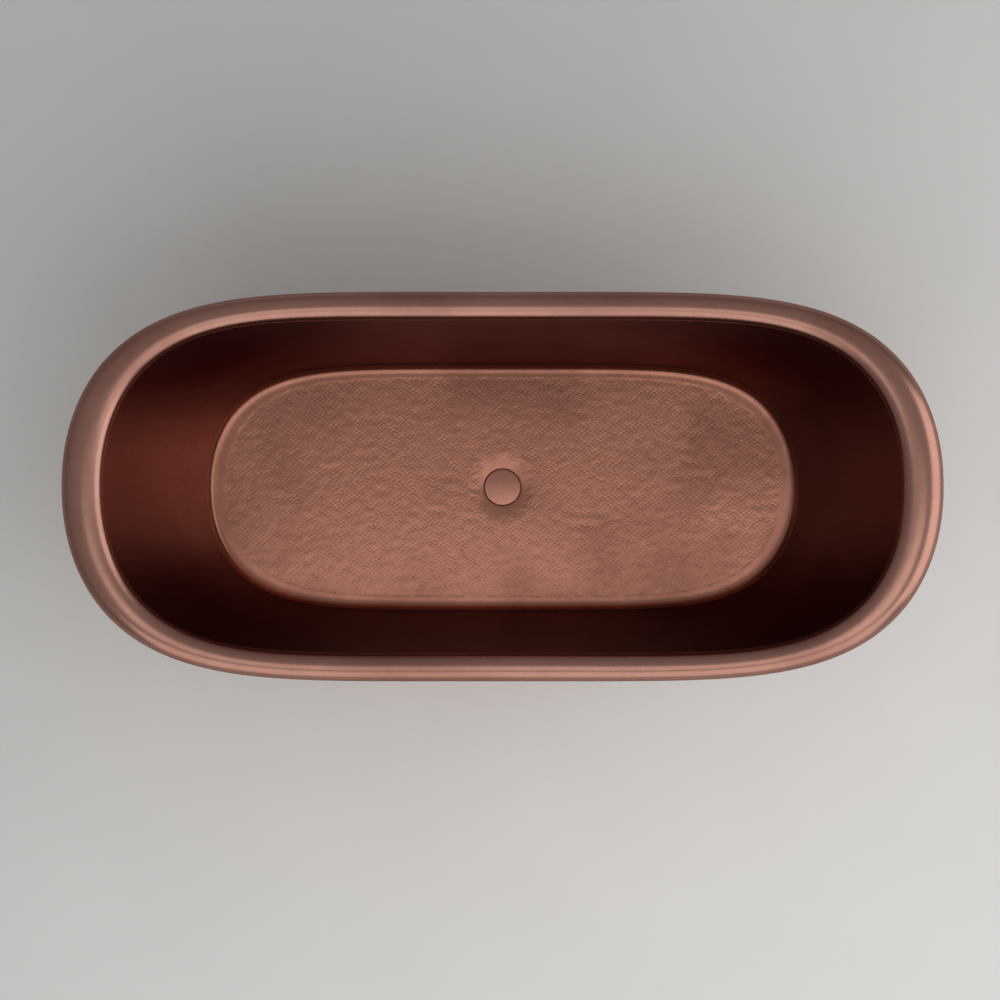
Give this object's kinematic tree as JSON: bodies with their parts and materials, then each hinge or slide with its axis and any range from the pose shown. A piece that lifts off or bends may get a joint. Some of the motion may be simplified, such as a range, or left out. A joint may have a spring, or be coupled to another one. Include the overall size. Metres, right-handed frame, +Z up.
{
  "type": "freestanding bathtub",
  "caption": "Double-ended freestanding copper bath with a rolled rim, hammered floor, centre click waste, flared plinth and levelling feet",
  "frame": {"origin": "on the floor, under the middle of the tub", "axes": "+X along the tub's length, +Y across it towards its back, +Z up"},
  "size_m": [1.7, 0.756, 0.66],
  "materials": {
    "rim_copper": "antique copper, satin",
    "wall_copper": "antique copper, satin",
    "hammered_copper": "antique copper, hammered",
    "shell_copper": "antique copper, satin",
    "cap_copper": "antique copper, satin",
    "frame_paint": "black powder coat",
    "rubber": "moulded black rubber",
    "timber": "planed softwood",
    "waste_brass": "turned brass",
    "guide_plastic": "moulded white plastic",
    "steel": "zinc plated"
  },
  "bodies": {
    "tub": {"base_ring": "frame_paint", "basin_back": "wall_copper", "basin_back_left": "wall_copper", "basin_back_right": "wall_copper", "basin_floor": "hammered_copper", "basin_front": "wall_copper", "basin_front_left": "wall_copper", "basin_front_right": "wall_copper", "coach_screws": "steel", "cross_member_1": "frame_paint", "cross_member_2": "frame_paint", "cross_member_3": "frame_paint", "cross_member_4": "frame_paint", "foot_bushes": "steel", "foot_locknuts": "steel", "pan_nuts": "steel", "pan_studs": "steel", "pan_washers": "steel", "plinth": "shell_copper", "plinth_screws": "shell_copper", "plug_guide": "guide_plastic", "plug_spring": "steel", "rail_back": "timber", "rail_front": "timber", "rail_strip_back": "rubber", "rail_strip_front": "rubber", "rim_roll": "rim_copper", "ring_bolts": "steel", "ring_nuts": "steel", "shell_back": "shell_copper", "shell_front": "shell_copper", "tail_nut": "waste_brass", "tail_pipe": "waste_brass", "tail_seal": "rubber", "waste_backnut": "waste_brass", "waste_body": "waste_brass", "waste_top_seal": "rubber", "waste_under_seal": "rubber"},
    "plug": {"plug_cap": "cap_copper", "plug_seal": "rubber", "plug_stem": "waste_brass", "plug_clip": "steel"},
    "foot_1": {"foot_stud_1": "steel", "foot_pad_1": "rubber"},
    "foot_2": {"foot_stud_2": "steel", "foot_pad_2": "rubber"},
    "foot_3": {"foot_stud_3": "steel", "foot_pad_3": "rubber"},
    "foot_4": {"foot_stud_4": "steel", "foot_pad_4": "rubber"}
  },
  "joints": [
    {"name": "plug_rise", "type": "slide", "parent": "tub", "child": "plug", "axis": [0, 0, 1], "range_m": [0, 0.009], "deforming": ["plug_spring"]},
    {"name": "foot_1_level", "type": "slide", "parent": "tub", "child": "foot_1", "axis": [0, 0, -1], "range_m": [-0.005, 0.015]},
    {"name": "foot_2_level", "type": "slide", "parent": "tub", "child": "foot_2", "axis": [0, 0, -1], "range_m": [-0.005, 0.015]},
    {"name": "foot_3_level", "type": "slide", "parent": "tub", "child": "foot_3", "axis": [0, 0, -1], "range_m": [-0.005, 0.015]},
    {"name": "foot_4_level", "type": "slide", "parent": "tub", "child": "foot_4", "axis": [0, 0, -1], "range_m": [-0.005, 0.015]}
  ]
}
